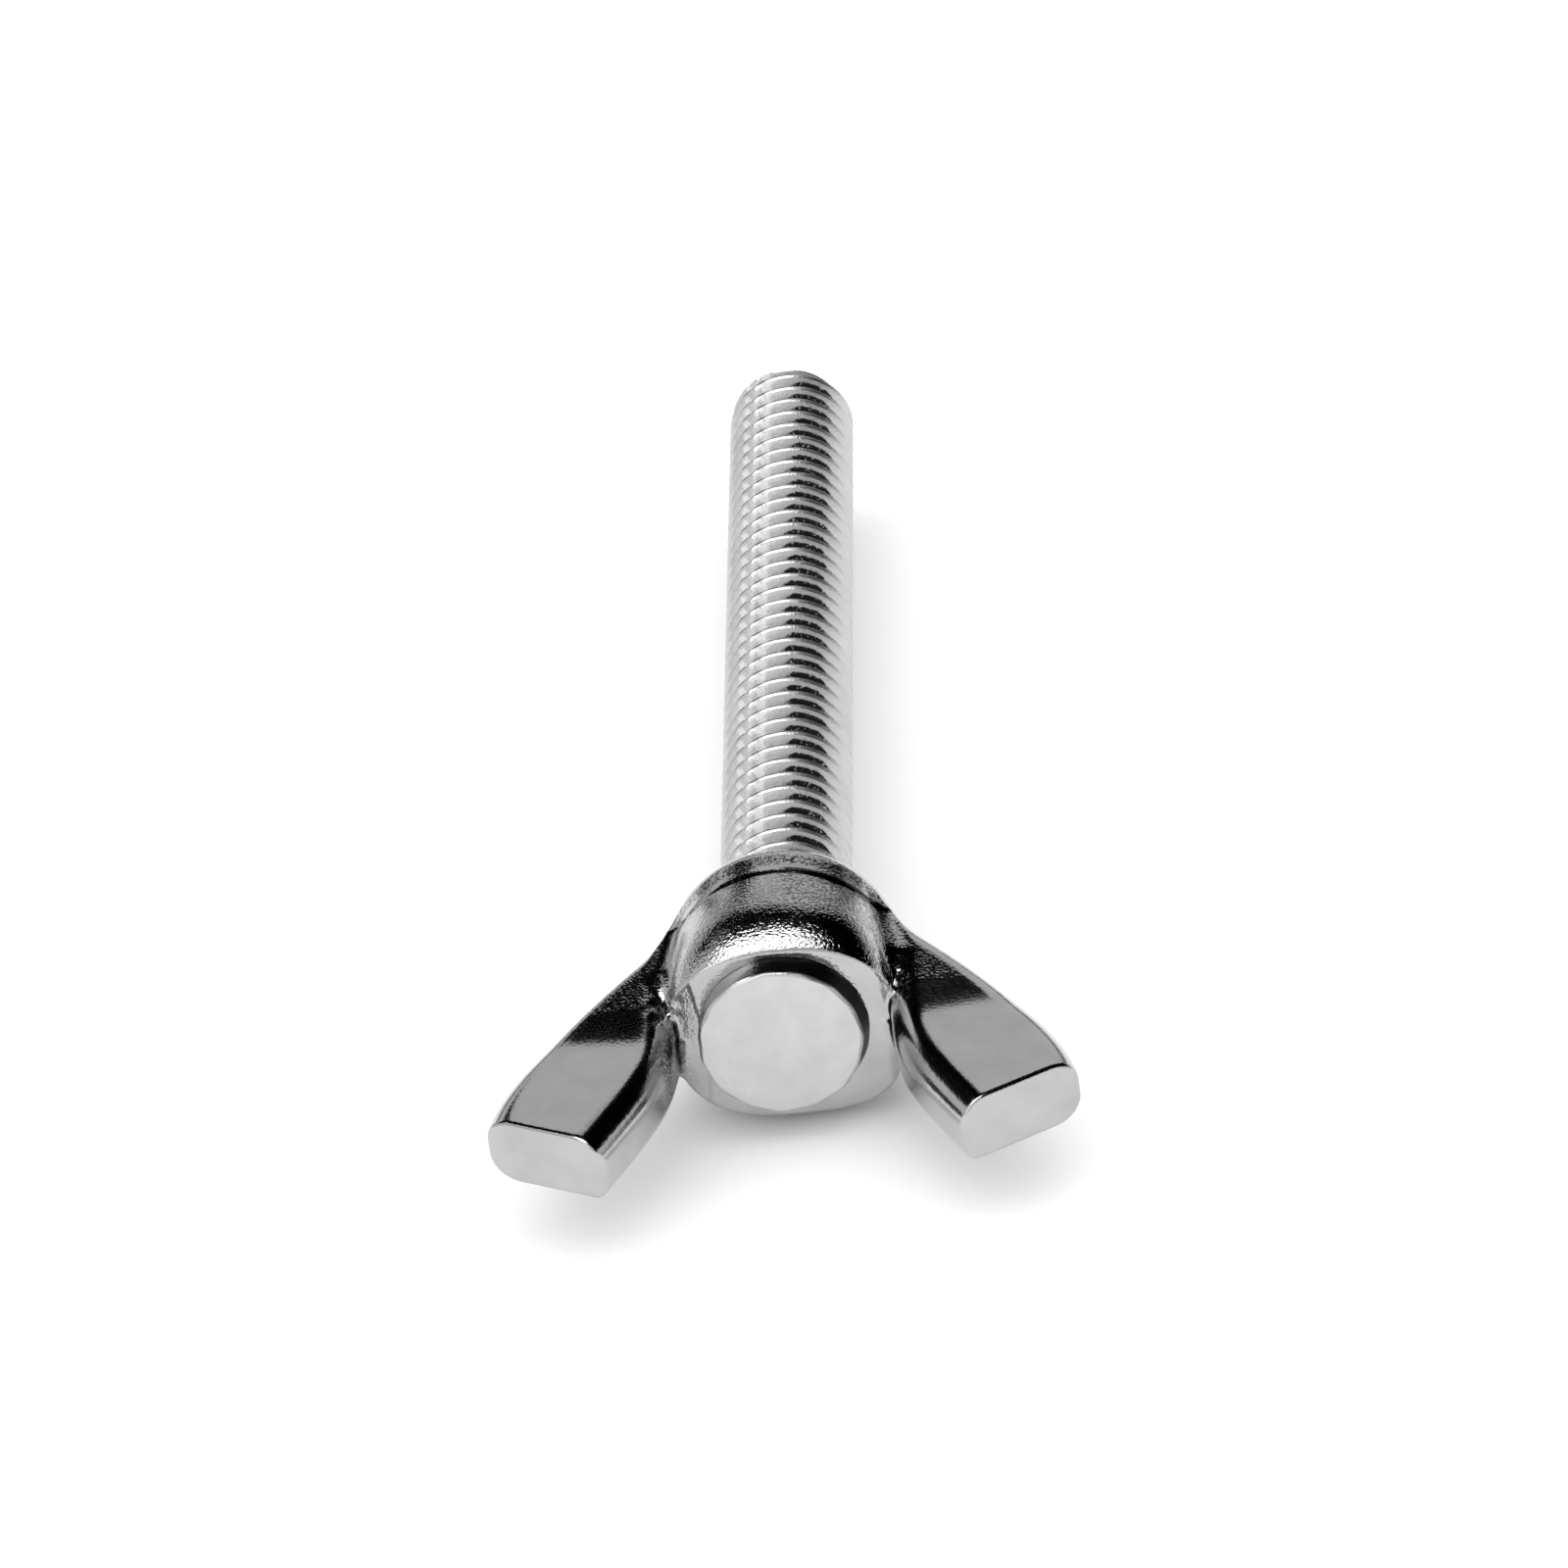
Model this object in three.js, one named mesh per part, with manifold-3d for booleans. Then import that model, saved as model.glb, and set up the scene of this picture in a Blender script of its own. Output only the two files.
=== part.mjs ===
// Wing screw: a forged head with two wings, riveted on a fully threaded stud.
// Units are millimetres. The thread axis is Y, the wings spread along X, and Z is across their flat faces.
// The origin is the centre of the stud's flat tip. The head lies on the -Y side.
import * as THREE from 'three';
import { mergeVertices } from 'three/addons/utils/BufferGeometryUtils.js';
import Module from 'manifold-3d';

const wasm = await Module();
wasm.setup();

// Thread: 1/4 inch, 20 turns per inch, two inches under the head.
const MAJOR_RADIUS = 3.175;
const PITCH = 1.27;
const THREAD_TURNS = 40;
const THREAD_DEPTH = 0.6134 * PITCH;
const CREST_FLAT = PITCH / 8;
const ROOT_FLAT = PITCH / 4;
const TIP_CHAMFER = 0.8;
const THREAD_SIDES = 16;

// Hub of the head, from the bearing face (height 0) to its top (height HUB_HEIGHT).
const HUB_HEIGHT = 7.84;
const HUB_FOOT_RADIUS = 5.55;
const HUB_TOP_RADIUS = 5.1;
const HUB_TOP_SQUARENESS = 1.1;
const FOOT_ROUNDING = 1.1;
const TOP_ROUNDING = 0.45;

// Riveted end of the stud: a low cone standing on the hub's top.
const RIVET_FOOT_RADIUS = 3.96;
const RIVET_TOP_RADIUS = 3.52;
const RIVET_HEIGHT = 1.0;

// Wings: bars that lean outwards from the hub, as heights and reaches from the hub's centre.
const WING_SPREAD = 27.5;
const WING_THICKNESS = 3.2;
const WING_ROUNDING = 0.8;
const WING_INNER_CORNER = { x: 8.4, height: 18.1 };
const WING_OUTER_CORNER = { x: WING_SPREAD / 2, height: 15.15 };
const WING_END_OVERRUN = 3;

// Gap between the stud and the head.
const CLEARANCE = 0.1;
const BORE_RADIUS = MAJOR_RADIUS + CLEARANCE;
const ROUND_SIDES = 48;

const SHANK_LENGTH = THREAD_TURNS * PITCH;
const FULL_TURN = 2 * Math.PI;

// The Y of a point that is a given height above the bearing face.
function levelOf(height) {
  return -SHANK_LENGTH - height;
}

// A quarter round of a lathe profile, from one angle to another about its centre.
function roundedCorner(centreRadius, centreHeight, rounding, fromAngle, toAngle) {
  const steps = 5;
  return Array.from({ length: steps + 1 }, (_, i) => {
    const angle = fromAngle + (toAngle - fromAngle) * i / steps;
    const radius = centreRadius + rounding * Math.cos(angle);
    return [radius, centreHeight + rounding * Math.sin(angle)];
  });
}

// Turns a profile of [radius, height] points about the thread axis.
function turned(profile) {
  const points = profile.map(([radius, height]) => new THREE.Vector2(radius, levelOf(height)));
  return new THREE.LatheGeometry(points.reverse(), ROUND_SIDES);
}

function toSolid(geometry) {
  const bare = geometry.clone();
  bare.deleteAttribute('normal');
  bare.deleteAttribute('uv');
  const merged = mergeVertices(bare, 1e-4);
  const vertProperties = new Float32Array(merged.attributes.position.array);
  const triVerts = new Uint32Array(merged.index.array);
  return new wasm.Manifold(new wasm.Mesh({ numProp: 3, vertProperties, triVerts }));
}

function toGeometry(solid) {
  const mesh = solid.getMesh();
  const geometry = new THREE.BufferGeometry();
  geometry.setAttribute('position', new THREE.BufferAttribute(mesh.vertProperties, 3));
  geometry.setIndex(new THREE.BufferAttribute(mesh.triVerts, 1));
  geometry.computeVertexNormals();
  return geometry;
}

// Radius of the thread at a place along the screw, cut off by the tip's chamfer.
function threadRadius(depth, y) {
  return Math.min(MAJOR_RADIUS - depth, MAJOR_RADIUS - TIP_CHAMFER - y);
}

// One straight line of points along the thread, where the helix crosses the plane of this angle.
function threadLine(turn) {
  const flank = (PITCH - CREST_FLAT - ROOT_FLAT) / 2;
  const section = [
    { at: 0, depth: 0 },
    { at: CREST_FLAT, depth: 0 },
    { at: CREST_FLAT + flank, depth: THREAD_DEPTH },
    { at: CREST_FLAT + flank + ROOT_FLAT, depth: THREAD_DEPTH },
  ];
  const margin = 0.02;
  const crossings = [];
  for (let n = -1; n <= THREAD_TURNS; n += 1) {
    for (const { at, depth } of section) {
      const y = -SHANK_LENGTH + (n + turn) * PITCH + at;
      if (y > -SHANK_LENGTH + margin && y < -margin) {
        crossings.push({ y, radius: threadRadius(depth, y) });
      }
    }
  }
  const first = { y: -SHANK_LENGTH, radius: crossings[0].radius };
  const last = { y: 0, radius: MAJOR_RADIUS - THREAD_DEPTH - CLEARANCE };
  return [first, ...crossings, last].map(({ y, radius }) => ({ y, radius, phase: y / PITCH - turn }));
}

// The threaded rod as one closed surface: lines of points joined side by side, and a disc at each end.
function threadedRod() {
  const lines = Array.from({ length: THREAD_SIDES }, (_, j) => threadLine(j / THREAD_SIDES));
  const positions = [0, -SHANK_LENGTH, 0, 0, 0, 0];
  const starts = [];
  lines.forEach((line, j) => {
    const angle = FULL_TURN * j / THREAD_SIDES;
    starts.push(positions.length / 3);
    line.forEach(({ y, radius }) => positions.push(radius * Math.sin(angle), y, radius * Math.cos(angle)));
  });
  const index = [];
  lines.forEach((line, j) => {
    const k = (j + 1) % THREAD_SIDES;
    const next = lines[k];
    const wrap = k === 0 ? 1 : 0;
    let a = 0;
    let b = 0;
    index.push(0, starts[k], starts[j]);
    while (a < line.length - 1 || b < next.length - 1) {
      const phaseA = a < line.length - 1 ? line[a + 1].phase : Infinity;
      const phaseB = b < next.length - 1 ? next[b + 1].phase - wrap : Infinity;
      if (phaseA <= phaseB + 1e-6) {
        index.push(starts[j] + a, starts[k] + b, starts[j] + a + 1);
        a += 1;
      } else {
        index.push(starts[j] + a, starts[k] + b, starts[k] + b + 1);
        b += 1;
      }
    }
    index.push(1, starts[j] + line.length - 1, starts[k] + next.length - 1);
  });
  const geometry = new THREE.BufferGeometry();
  geometry.setAttribute('position', new THREE.Float32BufferAttribute(positions, 3));
  geometry.setIndex(index);
  return geometry;
}

// The plain end of the stud: it fills the hub's bore and is riveted over the hub's top.
function rivetedEnd() {
  const shoulder = HUB_HEIGHT + CLEARANCE;
  return turned([
    [0, -PITCH],
    [MAJOR_RADIUS - THREAD_DEPTH - CLEARANCE, -PITCH],
    [MAJOR_RADIUS, 0],
    [MAJOR_RADIUS, shoulder],
    [RIVET_FOOT_RADIUS, shoulder],
    [RIVET_TOP_RADIUS, shoulder + RIVET_HEIGHT],
    [0, shoulder + RIVET_HEIGHT],
  ]);
}

function threadedStud() {
  return toGeometry(toSolid(threadedRod()).add(toSolid(rivetedEnd())));
}

// Makes the round hub squarer towards its top, as the forging dies leave it.
function squaredTowardsTop(geometry) {
  const position = geometry.attributes.position;
  for (let i = 0; i < position.count; i += 1) {
    const share = THREE.MathUtils.clamp((-SHANK_LENGTH - position.getY(i)) / HUB_HEIGHT, 0, 1);
    const radius = Math.hypot(position.getX(i), position.getZ(i));
    const angle = Math.atan2(position.getZ(i), position.getX(i));
    const power = 2 + HUB_TOP_SQUARENESS * share;
    const sum = Math.abs(Math.cos(angle)) ** power + Math.abs(Math.sin(angle)) ** power;
    const reach = radius * sum ** (-1 / power);
    position.setX(i, reach * Math.cos(angle));
    position.setZ(i, reach * Math.sin(angle));
  }
  return geometry;
}

function hub() {
  const quarter = Math.PI / 2;
  return squaredTowardsTop(turned([
    [0, 0],
    ...roundedCorner(HUB_FOOT_RADIUS - FOOT_ROUNDING, FOOT_ROUNDING, FOOT_ROUNDING, -quarter, 0),
    ...roundedCorner(HUB_TOP_RADIUS - TOP_ROUNDING, HUB_HEIGHT - TOP_ROUNDING, TOP_ROUNDING, 0, quarter),
    [0, HUB_HEIGHT],
  ]));
}

// Outline of one wing, run on past its end: the end is cut flat afterwards.
function wingOutline() {
  const inner = WING_INNER_CORNER;
  const outer = WING_OUTER_CORNER;
  const shape = new THREE.Shape();
  shape.moveTo(3.8, levelOf(0.9));
  shape.lineTo(5.2, levelOf(0.9));
  shape.quadraticCurveTo(8.4, levelOf(4.7), 10.8, levelOf(8.6));
  shape.quadraticCurveTo(13.0, levelOf(12.2), outer.x, levelOf(outer.height));
  shape.lineTo(outer.x, levelOf(outer.height + WING_END_OVERRUN));
  shape.lineTo(inner.x + WING_END_OVERRUN / 2, levelOf(inner.height + WING_END_OVERRUN));
  shape.lineTo(inner.x, levelOf(inner.height));
  shape.quadraticCurveTo(5.75, levelOf(13.6), 4.5, levelOf(10.2));
  shape.lineTo(3.8, levelOf(6.0));
  return shape;
}

// A block whose lower face is the wing's flat end.
function wingEndCutter() {
  const inner = WING_INNER_CORNER;
  const outer = WING_OUTER_CORNER;
  const size = 14;
  const slope = Math.atan2(inner.height - outer.height, outer.x - inner.x);
  const block = new THREE.BoxGeometry(size * 2, size, size);
  block.translate(0, -size / 2, 0);
  block.rotateZ(slope);
  block.translate(inner.x, levelOf(inner.height), 0);
  return block;
}

function rightWing() {
  const geometry = new THREE.ExtrudeGeometry(wingOutline(), {
    depth: WING_THICKNESS - 2 * WING_ROUNDING,
    bevelThickness: WING_ROUNDING,
    bevelSize: WING_ROUNDING,
    bevelOffset: -WING_ROUNDING,
    bevelSegments: 3,
    curveSegments: 6,
  });
  geometry.translate(0, 0, -WING_THICKNESS / 2 + WING_ROUNDING);
  return toSolid(geometry).subtract(toSolid(wingEndCutter()));
}

function bore() {
  const past = 2;
  return turned([
    [0, -past],
    [BORE_RADIUS, -past],
    [BORE_RADIUS, HUB_HEIGHT + past],
    [0, HUB_HEIGHT + past],
  ]);
}

function wingHead() {
  const wing = rightWing();
  const otherWing = wing.rotate([0, 180, 0]);
  const solid = toSolid(hub()).add(wing).add(otherWing).subtract(toSolid(bore()));
  return toGeometry(solid);
}

function named(name, geometry, color, roughness) {
  const material = new THREE.MeshStandardMaterial({ color, roughness, metalness: 1 });
  const mesh = new THREE.Mesh(geometry, material);
  mesh.name = name;
  return mesh;
}

const wingScrew = new THREE.Group();
wingScrew.add(named('wing_head', wingHead(), 0xc9cacb, 0.2));
wingScrew.add(named('threaded_stud', threadedStud(), 0xbfc0c2, 0.25));

export default wingScrew;
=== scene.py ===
# %% [markdown]
# # A riveted wing screw
# This lesson builds the finished look of a wing screw round its CAD model. The real screw is two
# pieces of plated steel. A hot-forged head has two wings to turn it by, and a threaded stud goes
# through the head and is riveted over its top. The CAD model gives the frame and the sizes, and
# each cell below adds one thing: the camera, the head, the stud, the plating, the studio.

# %% Load the fixed frame
import math

import bpy
import numpy as np
from mathutils import Matrix, Vector


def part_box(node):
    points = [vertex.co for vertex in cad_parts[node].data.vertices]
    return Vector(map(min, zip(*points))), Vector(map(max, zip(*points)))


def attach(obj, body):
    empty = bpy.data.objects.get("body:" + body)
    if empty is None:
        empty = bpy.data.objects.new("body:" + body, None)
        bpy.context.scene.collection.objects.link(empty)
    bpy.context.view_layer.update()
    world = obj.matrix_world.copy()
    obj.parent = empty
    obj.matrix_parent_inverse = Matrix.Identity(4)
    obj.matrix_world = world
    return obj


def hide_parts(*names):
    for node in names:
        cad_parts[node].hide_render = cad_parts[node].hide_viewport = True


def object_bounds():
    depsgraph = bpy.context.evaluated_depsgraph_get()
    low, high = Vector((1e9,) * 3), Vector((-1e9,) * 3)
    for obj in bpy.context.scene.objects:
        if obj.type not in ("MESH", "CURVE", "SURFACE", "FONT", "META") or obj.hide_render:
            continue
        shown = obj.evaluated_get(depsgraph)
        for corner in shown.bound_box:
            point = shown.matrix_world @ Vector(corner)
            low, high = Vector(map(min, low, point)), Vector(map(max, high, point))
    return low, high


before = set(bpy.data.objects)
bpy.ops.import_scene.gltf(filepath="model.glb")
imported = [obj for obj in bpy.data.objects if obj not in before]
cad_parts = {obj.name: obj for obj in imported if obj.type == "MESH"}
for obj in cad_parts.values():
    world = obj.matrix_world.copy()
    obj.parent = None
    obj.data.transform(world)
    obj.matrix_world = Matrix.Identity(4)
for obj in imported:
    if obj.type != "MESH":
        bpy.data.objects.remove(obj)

MM = 0.001
CAD_LOW, CAD_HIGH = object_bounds()
HEAD_LOW, HEAD_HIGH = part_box("wing_head")
STUD_LOW, STUD_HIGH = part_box("threaded_stud")

# Levels along the screw's axis, in millimetres. The head lies on the -Y side of the bearing face.
BEARING = HEAD_HIGH.y / MM
TIP = STUD_HIGH.y / MM
WING_REACH = HEAD_HIGH.x / MM
WING_HEIGHT = (HEAD_HIGH.y - HEAD_LOW.y) / MM
print(f"bearing face at Y {BEARING:.2f} mm, wings reach {WING_REACH:.2f} mm and stand {WING_HEIGHT:.2f} mm")


# %% [markdown]
# ## The camera
# A long lens from half a metre away shows a small part almost without perspective. The screw lies
# with its head towards the camera. The camera looks down on it, a little from the right, and is
# tilted a few degrees about its own line of sight.

# %% Place the camera
CAMERA_AZIMUTH = 4.8
CAMERA_ELEVATION = 31.0
CAMERA_ROLL = 8.53
CAMERA_DISTANCE = 0.4984
CAMERA_LENS = 235.3
CAMERA_AIM = Vector((-0.00017, -0.03648, 0.0))


def direction(azimuth, elevation):
    """The unit vector from the aim towards a place seen at this azimuth and elevation, in degrees."""
    a = math.radians(azimuth)
    e = math.radians(elevation)
    return Vector((math.sin(a) * math.cos(e), -math.cos(a) * math.cos(e), math.sin(e)))


camera = bpy.data.objects.new("camera", bpy.data.cameras.new("camera"))
bpy.context.scene.collection.objects.link(camera)
to_camera = direction(CAMERA_AZIMUTH, CAMERA_ELEVATION)
camera.location = CAMERA_AIM + to_camera * CAMERA_DISTANCE
looking = (-to_camera).to_track_quat("-Z", "Y").to_matrix()
camera.rotation_euler = (looking @ Matrix.Rotation(-math.radians(CAMERA_ROLL), 3, "Z")).to_euler()
camera.data.lens = CAMERA_LENS
camera.data.sensor_width = 36.0
camera.data.clip_start = 0.01
camera.data.clip_end = 10.0
bpy.context.scene.camera = camera
bpy.context.scene.view_settings.view_transform = "Standard"
print("camera at", tuple(round(c, 4) for c in camera.location))


# %% [markdown]
# ## The forged head as a distance field
# A forging has soft shoulders, thick roots and no straight seams, and modelling it face by face
# would take a cage of hundreds of points. Instead the head is written as one formula. For any
# point in space the field says about how far it is from the surface, negative inside the metal.
# Two fields are joined with a fillet or cut with a rounded edge by the two helpers below, so every
# blend radius on the head is one number.

# %% Rounded joins and cuts of fields
def cut_to(a, b, rounding):
    """The space inside both fields, with the edge between them rounded."""
    outside = np.hypot(np.maximum(a + rounding, 0), np.maximum(b + rounding, 0))
    return np.minimum(np.maximum(a, b), -rounding) + outside


def joined(a, b, fillet):
    """The space inside either field, with a fillet in the corner between them."""
    return -cut_to(-a, -b, fillet)


def ramp(value, start, end):
    """0 before start, 1 after end, and smooth in between."""
    t = np.clip((value - start) / (end - start), 0, 1)
    return t * t * (3 - 2 * t)


def bending(value, softness):
    """0 where the value is negative and the value where it is positive, with a soft bend between."""
    return softness * np.log1p(np.exp(np.clip(value / softness, -30, 30)))


# %% The hub's field, in millimetres
HUB_HEIGHT = 7.84
HUB_RADIUS = 5.47
HUB_TOP_UPPER = 4.38
HUB_TOP_LOWER = 4.80
SHOULDER_RADIUS = 4.0
SHOULDER_TILT_UPPER = math.radians(43)
SHOULDER_TILT_LOWER = math.radians(34)
FOOT_ROUNDING = 0.6
FOOT_STRETCH = 1.8
RING_LEVEL = 2.5
RING_STEP = 0.05
RING_FADE = 0.12
HUB_SQUARENESS = 0.4
LOWER_RIGHT_SQUARENESS = 1.0
TOP_EDGE = 0.10
BORE_RADIUS = 3.2


def hub_field(x, height, z):
    # Across the wings the hub keeps its radius. Along Z it draws in over a round shoulder, and
    # less so on its lower side.
    upper = z > 0
    tilt = np.where(upper, SHOULDER_TILT_UPPER, SHOULDER_TILT_LOWER)
    top_half_depth = np.where(upper, HUB_TOP_UPPER, HUB_TOP_LOWER)
    shoulder_level = HUB_HEIGHT - SHOULDER_RADIUS * np.sin(tilt)
    rise = np.clip(height - shoulder_level, 0, SHOULDER_RADIUS * 0.9)
    drawn_in = SHOULDER_RADIUS - np.sqrt(SHOULDER_RADIUS**2 - rise**2)
    widest = top_half_depth + SHOULDER_RADIUS * (1 - np.cos(tilt))
    step = RING_STEP * ramp(height, RING_LEVEL - RING_FADE, RING_LEVEL + RING_FADE)
    half_depth = widest - drawn_in - step
    half_width = HUB_RADIUS - step
    # The hub is round at its foot and squarer at its top, most of all in one corner.
    squareness = HUB_SQUARENESS + LOWER_RIGHT_SQUARENESS * (x > 0) * (z < 0)
    power = 2 + squareness * ramp(height, RING_LEVEL, HUB_HEIGHT)
    share = (np.abs(x / half_width) ** power + np.abs(z / half_depth) ** power) ** (1 / power)
    side = (share - 1) * half_width
    hub = cut_to(side, -height / FOOT_STRETCH, FOOT_ROUNDING)
    return cut_to(hub, height - HUB_HEIGHT, TOP_EDGE)


# The two facets on the hub's top: where each starts, its small step and how steeply it falls.
LEFT_FACET_START = 4.05
LEFT_FACET_BOW = 0.3
LEFT_FACET_STEP = 0.05
LEFT_FACET_SLOPE = 0.10
RIGHT_FACET_START = 4.85
RIGHT_FACET_BOW = 0.012
RIGHT_FACET_STEP = 0.03
RIGHT_FACET_SLOPE = 0.25


def trimmed_hub_field(x, height, z):
    """The hub after its top was faced: a shallow facet is left beside each wing."""
    hub = hub_field(x, height, z)
    left = -x - LEFT_FACET_START + LEFT_FACET_BOW * (1 - ((z + 1) / 3.5) ** 2)
    right = x - RIGHT_FACET_START + RIGHT_FACET_BOW * z * z
    drop = LEFT_FACET_STEP * ramp(left, -0.05, 0.06) + LEFT_FACET_SLOPE * np.maximum(left, 0)
    drop += RIGHT_FACET_STEP * ramp(right, -0.05, 0.05) + RIGHT_FACET_SLOPE * np.maximum(right, 0)
    return cut_to(hub, height - HUB_HEIGHT + drop, 0.03)


# %% The wings' field
WING_UPPER_FACE = 1.58
WING_LOWER_FACE = 1.68
OUTER_EDGE = 1.2
INNER_UPPER_EDGE = 1.45
INNER_LOWER_EDGE = 0.75
OUTLINE_CORNER = 0.4
WING_END_EDGE = 0.14
WING_END_CORNER = 0.5
INNER_CORNER = (8.42, 18.2)
END_SLOPE = 0.557
WING_FOOT_LEVEL = 0.9
WING_FOOT_ROUNDING = 0.6

# The outer edge leans outwards from the hub's foot and curls back a little higher up.
OUTER_FOOT_REACH = 3.08
OUTER_LEAN = 0.975
OUTER_CURL = 4.64
OUTER_CURL_LEVEL = 15.8

# The inner edge stands upright beside the hub and leans outwards above the bend.
INNER_REACH = 5.0
INNER_LEAN = 0.5
INNER_BEND_LEVEL = 11.6
INNER_BEND_SOFTNESS = 0.7

# Below this level the wing thickens towards the hub.
ROOT_BEND_LEVEL = 10.9
ROOT_BEND_LEAN = 0.13
ROOT_BEND_SOFTNESS = 0.35
ROOT_SLOPE = 0.14

# Sideways and upward distances to a leaning edge are longer than the true distance to it.
OUTER_SHORTENING = 0.85
INNER_SHORTENING = 0.9
FACE_SHORTENING = 0.98


def wing_field(x, height, z):
    reach = np.abs(x)
    up = np.clip(height, 0, None)
    outer_edge = OUTER_FOOT_REACH + OUTER_LEAN * up - OUTER_CURL * (up / OUTER_CURL_LEVEL) ** 3
    outer = (reach - outer_edge) * OUTER_SHORTENING
    leaning = INNER_LEAN * (height - INNER_BEND_LEVEL)
    inner_edge = INNER_REACH + bending(leaning, INNER_BEND_SOFTNESS)
    inner = (inner_edge - reach) * INNER_SHORTENING
    outline = cut_to(outer, inner, OUTLINE_CORNER)
    # Past the bend the faces are flat. Towards the hub they slope up to a thicker root.
    below_bend = ROOT_BEND_LEVEL - ROOT_BEND_LEAN * reach - height
    thicker = ROOT_SLOPE * bending(below_bend, ROOT_BEND_SOFTNESS)
    face = np.where(z > 0, WING_UPPER_FACE, WING_LOWER_FACE)
    flat = (np.abs(z) - face - thicker) * FACE_SHORTENING
    inner_rounding = np.where(z > 0, INNER_UPPER_EDGE, INNER_LOWER_EDGE)
    bar = cut_to(outline, flat, np.where(inner > outer, inner_rounding, OUTER_EDGE))
    corner_reach, corner_height = INNER_CORNER
    past_end = height - corner_height + END_SLOPE * (reach - corner_reach)
    end = past_end / math.hypot(1, END_SLOPE)
    bar = np.maximum(cut_to(bar, end, WING_END_EDGE), cut_to(inner, end, WING_END_CORNER))
    return cut_to(bar, WING_FOOT_LEVEL - height, WING_FOOT_ROUNDING)


# %% Trimming marks, and the whole head
MARK_REACH, MARK_HEIGHT, MARK_LEVEL = 5.4, 7.5, 1.9
MARK_DEPTH = 0.05
ROOT_FILLET = 1.5
FILLET_LOSS_UPPER = 1.25
FILLET_LOSS_LOWER = 0.9
FILLET_FADE = (5.2, 7.6)


def trim_marks(x, height, z):
    """Small dents and burrs where the forging's flash was trimmed, beside the hub's top."""
    sideways = ((np.abs(x) - MARK_REACH) / 0.7) ** 2
    away = sideways + ((height - MARK_HEIGHT) / 1.3) ** 2 + ((z - MARK_LEVEL) / 0.8) ** 2
    # Waves of unlike lengths that cross each other look irregular.
    waves = np.sin(7.3 * x + 1.3) * np.sin(6.1 * height + 0.5) + np.sin(6.9 * z + 3.1 * x + height)
    return MARK_DEPTH * waves * np.exp(-away)


def head_field(x, y, z):
    """About how far a point is from the head's surface, in millimetres, negative in the metal."""
    height = BEARING - y
    hub = trimmed_hub_field(x, height, z)
    wings = wing_field(x, height, z)
    # The fillet between hub and wing is wide at the root and almost sharp at the hub's top.
    loss = np.where(z > 0, FILLET_LOSS_UPPER, FILLET_LOSS_LOWER)
    fillet = ROOT_FILLET - ramp(height, *FILLET_FADE) * loss
    body = joined(hub, wings, fillet) + trim_marks(x, height, z)
    bore = np.hypot(x, z) - BORE_RADIUS
    return np.maximum(body, -bore)


# %% [markdown]
# ## From the field to a mesh
# The field is measured on a grid. Every grid cell that the surface crosses gets one point, and
# every grid edge that it crosses gets one four-sided face between the four cells round it. This
# method is called surface nets. It gives an even, closed mesh of quads. Afterwards the points are
# relaxed along the surface and put back on it exactly, so reflections run smoothly.

# %% Surface nets
def crossing_cells(inside, axis):
    """The grid edges along one axis that cross the surface, as index arrays and which end is inside."""
    first = np.take(inside, range(inside.shape[axis] - 1), axis)
    second = np.take(inside, range(1, inside.shape[axis]), axis)
    where = np.nonzero(first != second)
    return where, first[where]


def surface_net(field, low, step):
    """Points and quads of the surface where the field changes sign."""
    inside = field < 0
    shape = np.array(field.shape)
    quads = []
    cells = []
    places = []
    for axis in range(3):
        where, starts_inside = crossing_cells(inside, axis)
        start = np.array(where).T
        end = start.copy()
        end[:, axis] += 1
        value_a = field[tuple(start.T)]
        value_b = field[tuple(end.T)]
        place = start.astype(float)
        place[:, axis] += value_a / (value_a - value_b)
        u, v = (axis + 1) % 3, (axis + 2) % 3
        corners = []
        for du, dv in ((0, 0), (-1, 0), (-1, -1), (0, -1)):
            cell = start.copy()
            cell[:, u] += du
            cell[:, v] += dv
            corners.append(np.ravel_multi_index(tuple(cell.T), tuple(shape)))
        quad = np.stack(corners, 1)
        quad[~starts_inside] = quad[~starts_inside][:, ::-1]
        quads.append(quad)
        cells.append(np.concatenate(corners))
        places.append(np.concatenate([place] * 4))
    cells = np.concatenate(cells)
    places = np.concatenate(places)
    names, owner = np.unique(cells, return_inverse=True)
    count = np.bincount(owner)
    points = np.stack([np.bincount(owner, places[:, k]) / count for k in range(3)], 1)
    faces = np.searchsorted(names, np.concatenate(quads))
    return low + points * step, faces


RELAXING = 0.6
LONGEST_MOVE = 0.08
LEAST_STEEPNESS = 0.05


def settle(points, faces, field, rounds=6, probe=0.01):
    """Evens out the points along the surface and puts them back on it."""
    edges = np.concatenate([faces[:, [k, (k + 1) % 4]] for k in range(4)])
    for _ in range(rounds):
        total = np.zeros_like(points)
        for k in range(3):
            total[:, k] = np.bincount(edges[:, 0], points[edges[:, 1], k], len(points))
        degree = np.bincount(edges[:, 0], minlength=len(points))[:, None]
        points = points * (1 - RELAXING) + total / degree * RELAXING
        for _ in range(2):
            value = field(*points.T)
            slope = np.empty_like(points)
            for k in range(3):
                ahead = points.copy()
                ahead[:, k] += probe
                slope[:, k] = (field(*ahead.T) - value) / probe
            steep = np.maximum((slope**2).sum(1), LEAST_STEEPNESS)
            move = -(value / steep)[:, None] * slope
            points = points + np.clip(move, -LONGEST_MOVE, LONGEST_MOVE)
    return points


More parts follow.
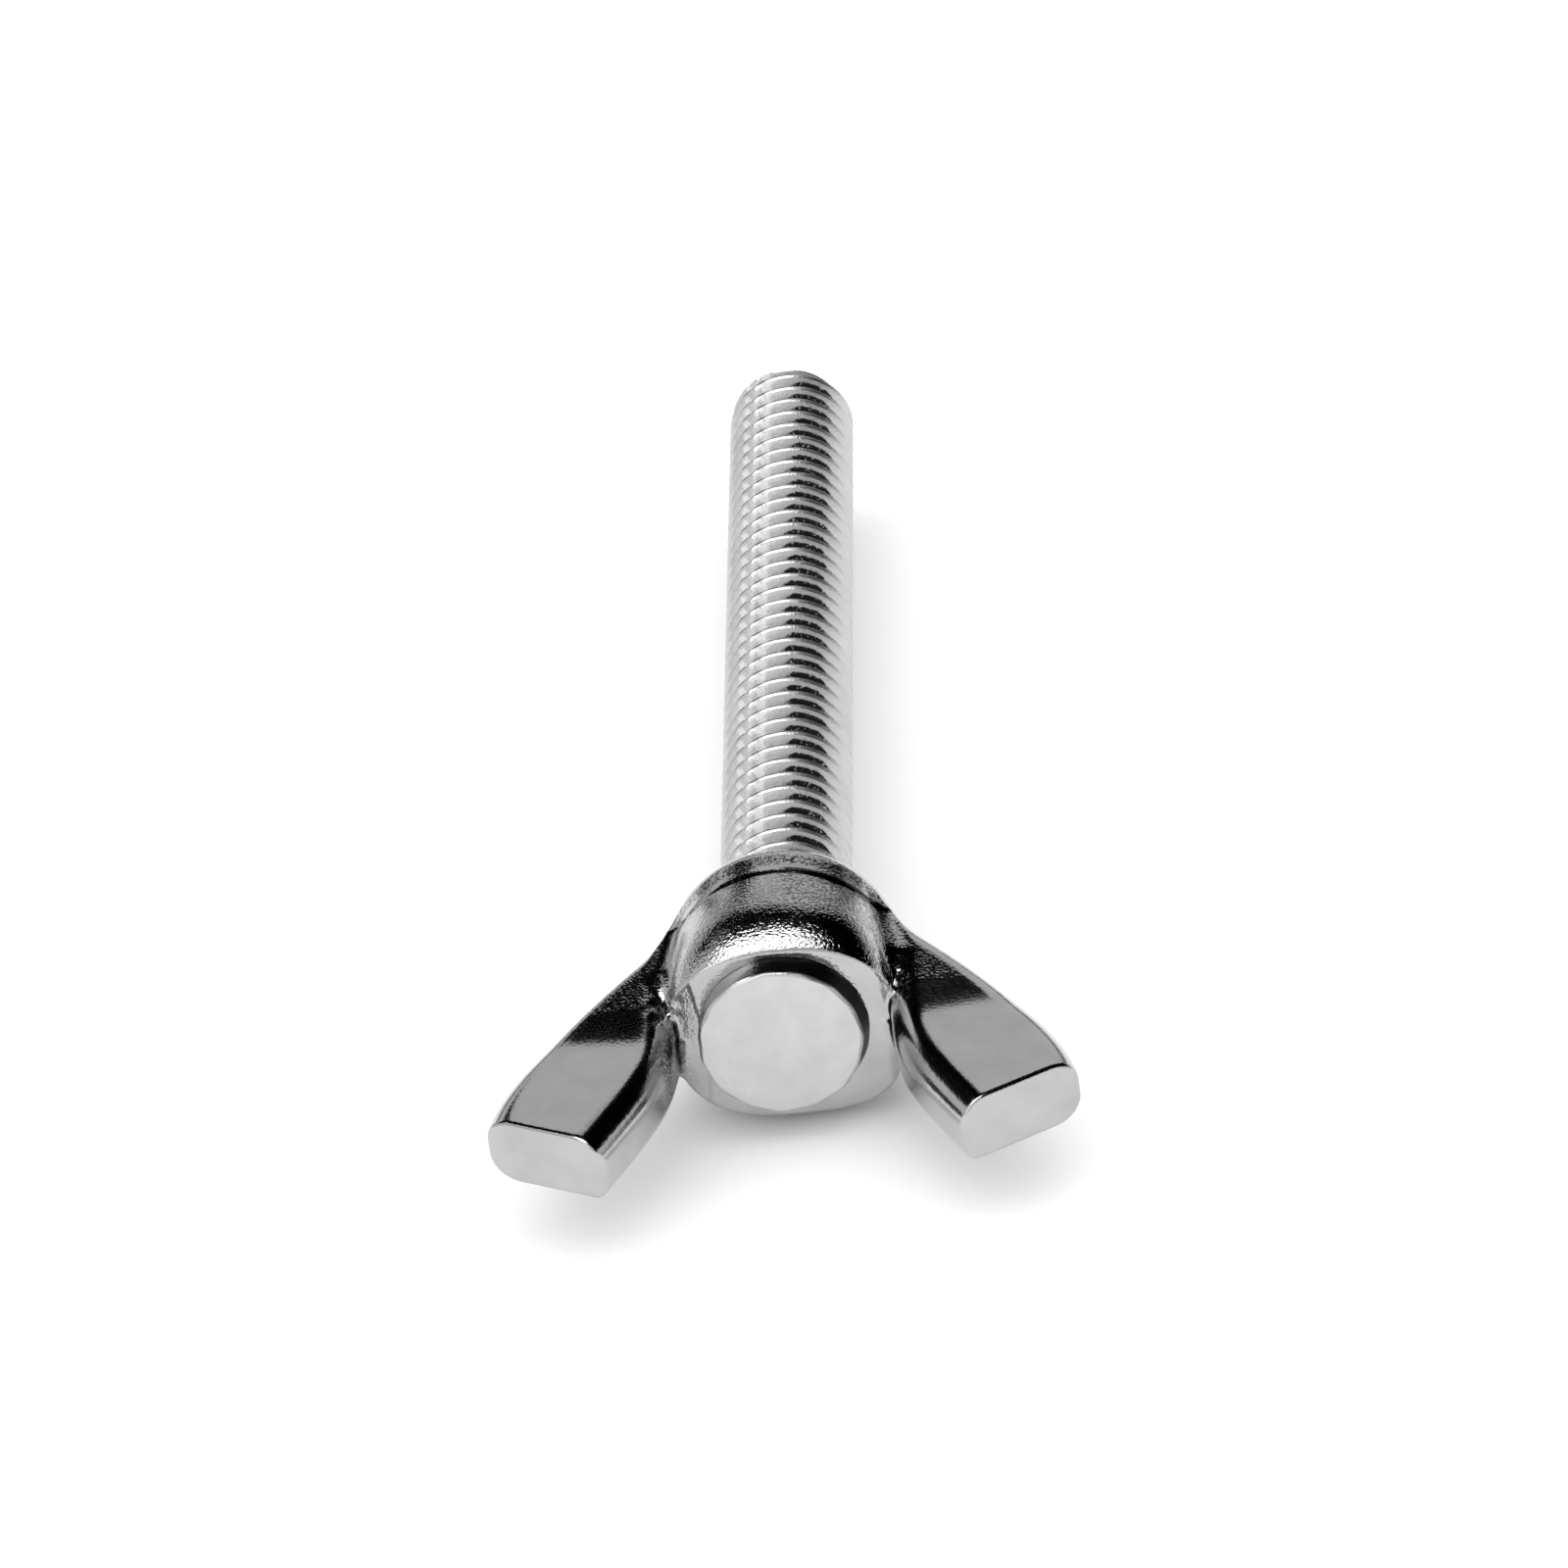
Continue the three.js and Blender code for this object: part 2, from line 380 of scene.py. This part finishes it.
# %% A mesh object from points in millimetres
def mesh_object(name, points, faces):
    mesh = bpy.data.meshes.new(name)
    mesh.vertices.add(len(points))
    mesh.vertices.foreach_set("co", (np.asarray(points) * MM).astype(np.float32).ravel())
    mesh.loops.add(faces.size)
    mesh.loops.foreach_set("vertex_index", faces.astype(np.int32).ravel())
    mesh.polygons.add(len(faces))
    mesh.polygons.foreach_set("loop_start", np.arange(0, faces.size, faces.shape[1], dtype=np.int32))
    mesh.polygons.foreach_set("use_smooth", np.ones(len(faces), bool))
    mesh.update(calc_edges=True)
    mesh.validate()
    piece = bpy.data.objects.new(name, mesh)
    bpy.context.scene.collection.objects.link(piece)
    return piece


# %% Mesh the head
# Where two sheets of the surface pass through one grid cell, surface nets can leave an edge with
# four faces. After a change of shape or step, count such edges.
GRID_STEP = 0.1174
MARGIN = 0.5


def forged_head():
    low = np.array(HEAD_LOW) / MM - MARGIN
    high = np.array(HEAD_HIGH) / MM + MARGIN
    axes = [np.arange(low[k], high[k], GRID_STEP) for k in range(3)]
    grid = np.meshgrid(*axes, indexing="ij", sparse=True)
    field = np.broadcast_to(head_field(*grid), [len(a) for a in axes])
    points, faces = surface_net(field, low, GRID_STEP)
    points = settle(points, faces, head_field)
    return mesh_object("forged_wing_head", points, faces)


head = forged_head()
print(f"forged head: {len(head.data.polygons)} quads")


# %% [markdown]
# ## The stud: a turned bar with a rolled thread
# On the real stud the thread is rolled into a plain bar, and the bar's end is hammered over the
# hub. The tree below works the same way. It draws the bar's half section as a line, winds a grid
# of points round it in a helix, and presses the thread into every point. Because the grid itself
# follows the helix, its rows lie along the crests and roots, so the thread stays crisp.

# %% Sizes of the stud, in millimetres
PITCH = 1.27
MAJOR_RADIUS = 3.175
THREAD_DEPTH = 0.6134 * PITCH
TIP_RADIUS = MAJOR_RADIUS - THREAD_DEPTH - 0.1
TIP_CHAMFER = 0.8
RIVET_FOOT_RADIUS = 4.02
RIVET_TOP_RADIUS = 3.85
RIVET_HEIGHT = 1.12
RIM_SHIFT = -0.17
RIM_RAGGEDNESS = 0.25
CHATTER = 0.045
CHATTER_MARKS = 20
ROWS_PER_TURN = 14
SIDES = 116


def bar_section():
    """Half section of the bar as [radius, level] points, from the riveted end to the tip."""
    hub_top = BEARING - HUB_HEIGHT
    top = hub_top - RIVET_HEIGHT
    return [
        [0, top],
        [RIVET_TOP_RADIUS - 0.12, top],
        [RIVET_TOP_RADIUS, top + 0.10],
        [RIVET_FOOT_RADIUS, hub_top - 0.08],
        [RIVET_FOOT_RADIUS - 0.05, hub_top - 0.01],
        [MAJOR_RADIUS, hub_top - 0.01],
        [MAJOR_RADIUS, TIP - TIP_CHAMFER],
        [MAJOR_RADIUS - 0.16, TIP - TIP_CHAMFER * 0.4],
        [MAJOR_RADIUS - 0.46, TIP - TIP_CHAMFER * 0.1],
        [TIP_RADIUS, TIP],
        [0, TIP],
    ]


# %% Node maths written as expressions
class Wire:
    """A node socket that can be used in sums: an expression on wires adds its Math nodes."""

    def __init__(self, tree, socket):
        self.tree = tree
        self.socket = socket

    def math(self, operation, *values):
        node = self.tree.nodes.new("ShaderNodeMath")
        node.operation = operation
        for slot, value in zip(node.inputs, (self, *values)):
            plug(self.tree, value, slot)
        return Wire(self.tree, node.outputs[0])

    def __add__(self, other):
        return self.math("ADD", other)

    def __sub__(self, other):
        return self.math("SUBTRACT", other)

    def __mul__(self, other):
        return self.math("MULTIPLY", other)

    def __truediv__(self, other):
        return self.math("DIVIDE", other)

    def __rsub__(self, other):
        return self * -1 + other

    __radd__ = __add__
    __rmul__ = __mul__

    def clamped(self, low, high):
        return self.math("MAXIMUM", low).math("MINIMUM", high)


def plug(tree, value, slot):
    """Puts a wire or a plain value into a socket."""
    if isinstance(value, Wire):
        tree.links.new(value.socket, slot)
    else:
        slot.default_value = value


def add_node(tree, kind, settings=None, values=None, output=0):
    """Adds a node of a kind, sets its settings, fills its sockets and gives one output as a wire."""
    node = tree.nodes.new(kind)
    for key, setting in (settings or {}).items():
        setattr(node, key, setting)
    for key, value in (values or {}).items():
        plug(tree, value, node.inputs[key])
    return Wire(tree, node.outputs[output])


# %% The tree that winds the thread
def thread_tree():
    """Geometry Nodes: winds a grid round the section line and presses the thread into it."""
    tree = bpy.data.node_groups.new("rolled_thread", "GeometryNodeTree")
    tree.interface.new_socket("Section", in_out="INPUT", socket_type="NodeSocketGeometry")
    lengths = ("Pitch", "Major Radius", "Depth", "Thread Start", "Section Length")
    for name in (*lengths, "Rivet Level", "Rim Shift", "Chatter"):
        tree.interface.new_socket(name, in_out="INPUT", socket_type="NodeSocketFloat")
    for name in ("Sides", "Rows", "Rows Per Turn"):
        tree.interface.new_socket(name, in_out="INPUT", socket_type="NodeSocketInt")
    tree.interface.new_socket("Material", in_out="INPUT", socket_type="NodeSocketMaterial")
    tree.interface.new_socket("Stud", in_out="OUTPUT", socket_type="NodeSocketGeometry")
    entry = tree.nodes.new("NodeGroupInput")
    given = {socket.name: Wire(tree, socket) for socket in entry.outputs if socket.name}

    # A flat grid of unit size: X says how far round the bar a point is, Y how far along the section.
    grid = add_node(
        tree,
        "GeometryNodeMeshGrid",
        values={
            "Size X": 1.0,
            "Size Y": 1.0,
            "Vertices X": given["Sides"] + 1,
            "Vertices Y": given["Rows"] + 1,
        },
    )
    place = add_node(tree, "GeometryNodeInputPosition")
    split = tree.nodes.new("ShaderNodeSeparateXYZ")
    plug(tree, place, split.inputs[0])
    around = Wire(tree, split.outputs["X"]) + 0.5
    along = Wire(tree, split.outputs["Y"]) + 0.5

    # One turn round the bar climbs one pitch, so the grid is a helix from end to end.
    climb = given["Rows"] * given["Pitch"] / given["Rows Per Turn"]
    travelled = along * climb + around * given["Pitch"] - given["Pitch"]
    section = add_node(tree, "GeometryNodeMeshToCurve", values={"Mesh": given["Section"]})
    sample = tree.nodes.new("GeometryNodeSampleCurve")
    sample.mode = "LENGTH"
    sample.use_all_curves = False
    plug(tree, section, sample.inputs["Curves"])
    plug(tree, travelled.clamped(0.0, given["Section Length"]), sample.inputs["Length"])
    on_bar = tree.nodes.new("ShaderNodeSeparateXYZ")
    tree.links.new(sample.outputs["Position"], on_bar.inputs[0])
    bar_radius = Wire(tree, on_bar.outputs["X"])
    level = Wire(tree, on_bar.outputs["Y"])

    # The thread's section: crests and roots are both round, as plating leaves them.
    # On one side the rolling dies chattered, which makes the crests there a little wavy.
    angle = around * (2 * math.pi)
    chattered = ((angle.math("SINE") + 0.55).math("ABSOLUTE") * -2.4 + 1).clamped(0, 1)
    waves = (angle * CHATTER_MARKS).math("SINE") * chattered * given["Chatter"]
    turn = (level - given["Thread Start"] + waves) / given["Pitch"] - around
    saw = turn.math("FRACT")
    off_crest = (saw - 0.5).math("ABSOLUTE") * -2 + 1
    eased = (off_crest * math.pi).math("COSINE") * -0.5 + 0.5
    threaded = (level - given["Thread Start"]) / (given["Pitch"] * 0.15)
    pressed = eased * given["Depth"] * threaded.clamped(0.0, 1.0)
    rolled = (given["Major Radius"] - pressed).math("MINIMUM", bar_radius)
    is_thread = threaded.clamped(0.0, 1.0)
    radius = bar_radius * (1 - is_thread) + rolled * is_thread

    # The hammered rim sits a little to one side of the thread's axis, and it is slightly uneven.
    at_rim = ((given["Rivet Level"] - level) / MM).clamped(0, 1)
    shift = at_rim * given["Rim Shift"]
    waves = (angle * 11).math("SINE") * (angle * 4 + 1).math("SINE")
    ragged = waves * given["Rim Shift"] * RIM_RAGGEDNESS
    radius = radius + ragged * at_rim * (bar_radius / given["Major Radius"]).clamped(0, 1)
    across = radius * angle.math("SINE") + shift
    wound = add_node(
        tree,
        "ShaderNodeCombineXYZ",
        values={"X": across, "Y": level, "Z": radius * angle.math("COSINE")},
    )
    shaped = add_node(
        tree, "GeometryNodeSetPosition", values={"Geometry": grid, "Position": wound}
    )
    welded = add_node(
        tree, "GeometryNodeMergeByDistance", values={"Geometry": shaped, "Distance": 0.002 * MM}
    )
    real = add_node(tree, "GeometryNodeRealizeInstances", values={"Geometry": welded})
    plated = add_node(
        tree,
        "GeometryNodeSetMaterial",
        values={"Geometry": real, "Material": given["Material"]},
    )
    leave = tree.nodes.new("NodeGroupOutput")
    tree.links.new(plated.socket, leave.inputs["Stud"])
    return tree


def set_input(modifier, name, value):
    """Sets a modifier's input by its socket's identifier."""
    for item in modifier.node_group.interface.items_tree:
        if item.item_type == "SOCKET" and item.in_out == "INPUT" and item.name == name:
            modifier[item.identifier] = value
            return
    raise KeyError(name)


# %% Wind the stud
def length_of(points):
    return sum(math.dist(a, b) for a, b in zip(points, points[1:]))


def rolled_stud(material):
    section = bar_section()
    mesh = bpy.data.meshes.new("bar_section")
    corners = [(radius * MM, level * MM, 0) for radius, level in section]
    mesh.from_pydata(corners, [(k, k + 1) for k in range(len(corners) - 1)], [])
    drawing = bpy.data.objects.new("bar_section", mesh)
    bpy.context.scene.collection.objects.link(drawing)
    rows = math.ceil((length_of(section) + PITCH) / PITCH * ROWS_PER_TURN)
    modifier = drawing.modifiers.new("thread", "NODES")
    modifier.node_group = thread_tree()
    set_input(modifier, "Pitch", PITCH * MM)
    set_input(modifier, "Major Radius", MAJOR_RADIUS * MM)
    set_input(modifier, "Depth", THREAD_DEPTH * MM)
    set_input(modifier, "Thread Start", BEARING * MM)
    set_input(modifier, "Section Length", length_of(section) * MM)
    set_input(modifier, "Rivet Level", (BEARING - HUB_HEIGHT) * MM)
    set_input(modifier, "Rim Shift", RIM_SHIFT * MM)
    set_input(modifier, "Chatter", CHATTER * MM)
    set_input(modifier, "Sides", SIDES)
    set_input(modifier, "Rows", rows)
    set_input(modifier, "Rows Per Turn", ROWS_PER_TURN)
    set_input(modifier, "Material", material)
    ready = drawing.evaluated_get(bpy.context.evaluated_depsgraph_get())
    plain = bpy.data.meshes.new_from_object(ready)
    bpy.data.objects.remove(drawing)
    stud = bpy.data.objects.new("rolled_stud", plain)
    bpy.context.scene.collection.objects.link(stud)
    return stud


# %% [markdown]
# ## Plating
# Both pieces are bright plated steel. A mirror would be too clean: the plating follows the fine
# grain of the forging underneath, and it is a little cloudy. So the material is a metal with
# three things on top. A fine noise bumps the surface, a coarser noise varies its brightness and
# roughness, and a mask paints shade and dark reflections into the colour: in the thread's roots,
# on one side of its flanks, in the gap under the rivet's rim, in bands round the hub and in a
# corner beside a wing. The mask is worked out from the place on the piece, with no image, so it
# has no seams.

# %% Bright plated steel
GRAIN_SCALE = 7000.0
CLOUD_SCALE = 600.0
GRAIN_DEPTH = 0.00004
# The near-black of the painted shade.
PAINTED_SHADE_LEVEL = 0.02


def split_place(tree, place):
    split = tree.nodes.new("ShaderNodeSeparateXYZ")
    plug(tree, place, split.inputs[0])
    return [Wire(tree, socket) for socket in split.outputs]


def blend(tree, first, second, amount):
    """Mixes two colours by an amount from 0 to 1."""
    return add_node(
        tree,
        "ShaderNodeMix",
        {"data_type": "RGBA", "blend_type": "MIX"},
        {6: first, 7: second, 0: amount},
        output=2,
    )


def grey(level):
    return (level, level, level * 1.01, 1)


def plated_steel(name, level, roughness, painted_shade_places=None):
    """Bright plating with a fine grain. The optional mask paints shade and dark reflections into the
    colour.
    """
    material = bpy.data.materials.new(name)
    material.use_nodes = True
    tree = material.node_tree
    shader = tree.nodes["Principled BSDF"]
    shader.inputs["Metallic"].default_value = 1.0
    place = Wire(tree, tree.nodes.new("ShaderNodeTexCoord").outputs["Object"])
    noise = "ShaderNodeTexNoise"
    grain = add_node(tree, noise, values={"Vector": place, "Scale": GRAIN_SCALE, "Detail": 1.0})
    cloud = add_node(tree, noise, values={"Vector": place, "Scale": CLOUD_SCALE, "Detail": 6.0})
    plating = blend(tree, grey(level * 0.8), grey(level * 1.12), cloud)
    if painted_shade_places:
        # Painted shade: the mask mixes a near-black into the colour where shade and dark reflections fall.
        mask = painted_shade_places(tree, place, grain)
        plating = blend(tree, plating, grey(PAINTED_SHADE_LEVEL), mask)
    plug(tree, plating, shader.inputs["Base Color"])
    plug(tree, cloud * 0.06 + roughness, shader.inputs["Roughness"])
    # The grain is strongest round the hub's shoulder. Fingers rub the wings smooth.
    x, y, z = split_place(tree, place)
    from_axis = (x * x + z * z).math("SQRT") / MM
    height = (BEARING * MM - y) / MM
    outside_hub = ((from_axis - 5.0) / 1.5).clamped(0, 1)
    shoulder = ((height - 3.5) / 2.0).clamped(0, 1) * ((7.8 - height) / 0.2).clamped(0, 1)
    strength = (0.35 + shoulder * 0.65) * (1 - outside_hub * 0.55)
    bump = add_node(
        tree,
        "ShaderNodeBump",
        values={"Strength": strength, "Distance": GRAIN_DEPTH, "Height": grain},
    )
    plug(tree, bump, shader.inputs["Normal"])
    return material


# %% Where shade is painted
def between(value, low, high, fade):
    """1 where a wire lies between two values, fading to 0 outside them."""
    return ((value - low) / fade + 1).clamped(0, 1) * ((high - value) / fade + 1).clamped(0, 1)


CREVICE_SIDE = math.radians(52)
ROOT_SHADE_DEPTH = 0.56
DARK_FLANK_DEPTH = 0.52


def stud_painted_shade(tree, place, grain):
    """Painted shade in the thread's roots and on one side of its flanks, and in the gap under the rivet's
    rim on its far side.
    """
    x, y, z = (part / MM for part in split_place(tree, place))
    from_axis = (x * x + z * z).math("SQRT")
    hub_top = BEARING - HUB_HEIGHT
    # Painted shadow: the rivet's wall is darkened on its far side.
    on_wall = between(y, hub_top - RIVET_HEIGHT + 0.2, hub_top, 0.1)
    facing = (x * math.sin(CREVICE_SIDE) + z * math.cos(CREVICE_SIDE)) / from_axis
    gap = on_wall * ((facing + grain * 0.2 - 0.42) * 7).clamped(0, 1)
    # A thin line of painted shade runs all along the root. On one side painted dark reflections reach
    # higher up the flanks, between ragged ends.
    threaded = between(y, BEARING, TIP - 0.7, 0.3)
    root = between(from_axis, 0.0, MAJOR_RADIUS - ROOT_SHADE_DEPTH, 0.08) * 0.5
    wander = (y * 5.1).math("SINE") * 0.12 + (y * 1.7).math("SINE") * 0.1
    ragged = ((grain - 0.5) * 3.5 + 0.9).clamped(0, 1)
    patch = between(x + wander, 0.6, 1.9, 0.6) * between(z, 0.5, 9.0, 0.2)
    depth = between(from_axis - patch * 0.20, 0.0, MAJOR_RADIUS - DARK_FLANK_DEPTH, 0.08)
    dark_flank = depth * patch * ragged
    return (gap + (root + dark_flank * 2) * threaded).clamped(0, 1)


def forging_painted_shade(tree, place, grain):
    """Stippled painted shade in bands on the upper side of the hub, and in the corner beside one wing."""
    x, y, z = (part / MM for part in split_place(tree, place))
    height = BEARING - y
    from_axis = (x * x + z * z).math("SQRT")
    upper = between(z, 3.0, 9.0, 1.2) * between(from_axis, 0.0, 6.0, 0.4)
    right = between(x, 0.8, 9.0, 0.5)
    stipple = ((grain - 0.5) * 7 + 0.5).clamped(0, 1)
    # Painted shade and dark reflections on the hub's upper side: a stippled band round its foot, a line in
    # its groove on the right and a stippled patch above, darker on the right.
    foot = between(height, 1.2, 1.7, 0.35) * stipple
    groove = between(height, 2.2, 2.4, 0.1) * right * 0.9
    side = between(height, 2.7, 5.2, 0.5) * stipple * (right * 0.35 + 0.35)
    # Painted shade in the corner beside the wing on the -X side.
    beside_hub = between(x, -6.6, -4.7, 0.5) * between(height, 8.4, 11.2, 0.9)
    corner = beside_hub * between(z, -3.0, 0.8, 0.6)
    on_hub = (foot + groove + side) * upper
    return (on_hub + corner * ((grain - 0.5) * 5 + 0.8).clamped(0, 1)).clamped(0, 1)


# %% Plate the head, and wind the stud
head_plating = plated_steel("head_plating", 0.46, 0.10, forging_painted_shade)
stud_plating = plated_steel("stud_plating", 0.56, 0.30, stud_painted_shade)
head.data.materials.append(head_plating)
stud = rolled_stud(stud_plating)
print(f"rolled stud: {len(stud.data.polygons)} faces")


# %% [markdown]
# ## Studio
# Bright metal shows hardly any light of its own. What one sees is the room in it, so a studio
# shapes metal with cards: white ones for the highlights and black ones for the dark bands that
# give it contrast. Here the room is an even pale grey. Each card is seen only in reflections, so it
# draws its band on the metal and leaves the floor clean. A soft sun that reflections do not see
# keeps the floor bright.

# %% Floor, lights and cards
FLOOR_GAP = 0.00002
FLOOR_LEVEL = CAD_LOW.z - FLOOR_GAP
FLOOR_WHITE = (0.9, 0.9, 0.9, 1)
ROOM_BRIGHTNESS = 0.78


def floor():
    half = 3.0
    mesh = bpy.data.meshes.new("floor")
    corners = [(-half, -half), (half, -half), (half, half), (-half, half)]
    mesh.from_pydata([(x, y, FLOOR_LEVEL) for x, y in corners], [], [(0, 1, 2, 3)])
    piece = bpy.data.objects.new("floor", mesh)
    bpy.context.scene.collection.objects.link(piece)
    material = bpy.data.materials.new("pale_floor")
    material.use_nodes = True
    shader = material.node_tree.nodes["Principled BSDF"]
    shader.inputs["Base Color"].default_value = FLOOR_WHITE
    shader.inputs["Roughness"].default_value = 0.9
    mesh.materials.append(material)
    return piece


def card(name, azimuth, elevation, distance, width, height, brightness, turn=0):
    """A flat panel that faces the screw and is seen only in reflections. It is black at brightness 0.

    Angles are in degrees, and the distance, width and height in metres.
    """
    mesh = bpy.data.meshes.new(name)
    w, h = width / 2, height / 2
    mesh.from_pydata([(-w, -h, 0), (w, -h, 0), (w, h, 0), (-w, h, 0)], [], [(0, 1, 2, 3)])
    piece = bpy.data.objects.new(name, mesh)
    bpy.context.scene.collection.objects.link(piece)
    towards = direction(azimuth, elevation)
    piece.location = Vector((0, BEARING * MM, 0)) + towards * distance
    facing = towards.to_track_quat("Z", "Y").to_matrix()
    piece.rotation_euler = (facing @ Matrix.Rotation(math.radians(turn), 3, "Z")).to_euler()
    material = bpy.data.materials.new(name)
    material.use_nodes = True
    tree = material.node_tree
    tree.nodes.clear()
    glow = tree.nodes.new("ShaderNodeEmission")
    glow.inputs["Color"].default_value = (1, 1, 1, 1)
    glow.inputs["Strength"].default_value = brightness
    end = tree.nodes.new("ShaderNodeOutputMaterial")
    tree.links.new(glow.outputs[0], end.inputs[0])
    mesh.materials.append(material)
    piece.visible_camera = False
    piece.visible_shadow = False
    piece.visible_diffuse = False
    return piece


floor()
world = bpy.data.worlds.new("studio")
bpy.context.scene.world = world
world.use_nodes = True
world.node_tree.nodes["Background"].inputs["Color"].default_value = (1, 1, 1, 1)
world.node_tree.nodes["Background"].inputs["Strength"].default_value = ROOM_BRIGHTNESS

# The highlight on the hub's shoulder, and the dark band behind it.
card("softbox_above", -31, 73.7, 0.42, 0.36, 0.20, 4.0, turn=31)
card("black_ceiling", 194, 70, 0.60, 0.62, 0.62, 0.0, turn=55)
card("grey_edge_behind", 180, 5, 0.60, 1.80, 0.10, 0.25)

# The wings' flat faces and ends.
card("softbox_left", -80, 26, 0.45, 0.55, 0.36, 0.85)
card("softbox_front", -5, 14, 0.60, 0.95, 0.34, 0.88)
card("strip_front_left", -31, 38, 0.40, 0.14, 0.40, 2.0)

# The dark side of the thread, and the dark parts of the wings.
card("black_card_right", 76, 45, 0.45, 0.60, 0.46, 0.0)
card("black_card_left_behind", 222, 33, 0.46, 0.38, 0.20, 0.0)
card("black_card_right_behind", 131, 32, 0.46, 0.40, 0.34, 0.0)


def daylight(azimuth, elevation, strength, softness):
    """A soft sun that lights the floor evenly, and that reflections do not see."""
    light = bpy.data.lights.new("daylight", "SUN")
    light.energy = strength
    light.angle = math.radians(softness)
    lamp = bpy.data.objects.new("daylight", light)
    bpy.context.scene.collection.objects.link(lamp)
    lamp.rotation_euler = direction(azimuth, elevation).to_track_quat("Z", "Y").to_euler()
    lamp.visible_glossy = False
    return lamp


daylight(-20, 70, 2.3, 120)

# %% Say what each piece is, write the sizes and finish
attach(head, "root")
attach(stud, "root")
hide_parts("wing_head")
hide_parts("threaded_stud")
print("CAD box   ", [round(v / MM, 3) for v in (*CAD_LOW, *CAD_HIGH)])
